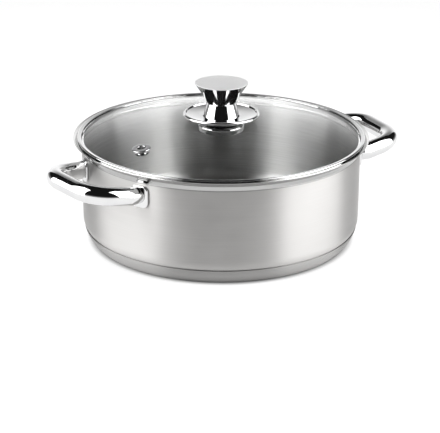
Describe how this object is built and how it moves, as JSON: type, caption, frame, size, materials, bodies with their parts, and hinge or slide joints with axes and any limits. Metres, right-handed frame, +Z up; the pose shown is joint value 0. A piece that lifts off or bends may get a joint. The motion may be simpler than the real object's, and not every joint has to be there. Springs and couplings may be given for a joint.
{
  "type": "cooking pot",
  "caption": "Low round cooking pot with a flared pouring lip, tubular loop handles, a heat-spreading base and a lift-off domed glass lid with steam vent and waisted knob.",
  "frame": {"origin": "centre of the flat underside of the base, on the pot's axis", "axes": "+X midway towards the right handle (each handle stands 7 degrees forward of X, towards -Y), +Z up along the pot's axis towards the knob"},
  "size_m": [0.329, 0.256, 0.139],
  "materials": {
    "brushed_steel": "satin, finely brushed round the pot",
    "polished_steel": "mirror polished",
    "satin_steel": "fine satin",
    "plain_steel": "plain turned steel",
    "aluminium": "rolled",
    "glass": "clear, polished",
    "silicone": "matte"
  },
  "bodies": {
    "pot": {"pot_body": "brushed_steel", "base_core": "aluminium", "base_cap": "brushed_steel", "left_handle": "polished_steel", "left_handle_front_foot": "polished_steel", "left_handle_rear_foot": "polished_steel", "right_handle": "polished_steel", "right_handle_front_foot": "polished_steel", "right_handle_rear_foot": "polished_steel"},
    "lid": {"lid_glass": "glass", "lid_rim": "polished_steel", "lid_edge_seal": "silicone", "vent_eyelet": "polished_steel", "knob_body": "polished_steel", "knob_cap": "satin_steel", "knob_stem": "plain_steel", "knob_flange": "polished_steel", "knob_upper_gasket": "silicone", "knob_lower_gasket": "silicone", "knob_backing_washer": "polished_steel", "knob_screw": "plain_steel"}
  },
  "joints": [
    {"name": "lid_lift", "type": "slide", "parent": "pot", "child": "lid", "axis": [0, 0, 1], "range_m": [0, 0.15]}
  ]
}
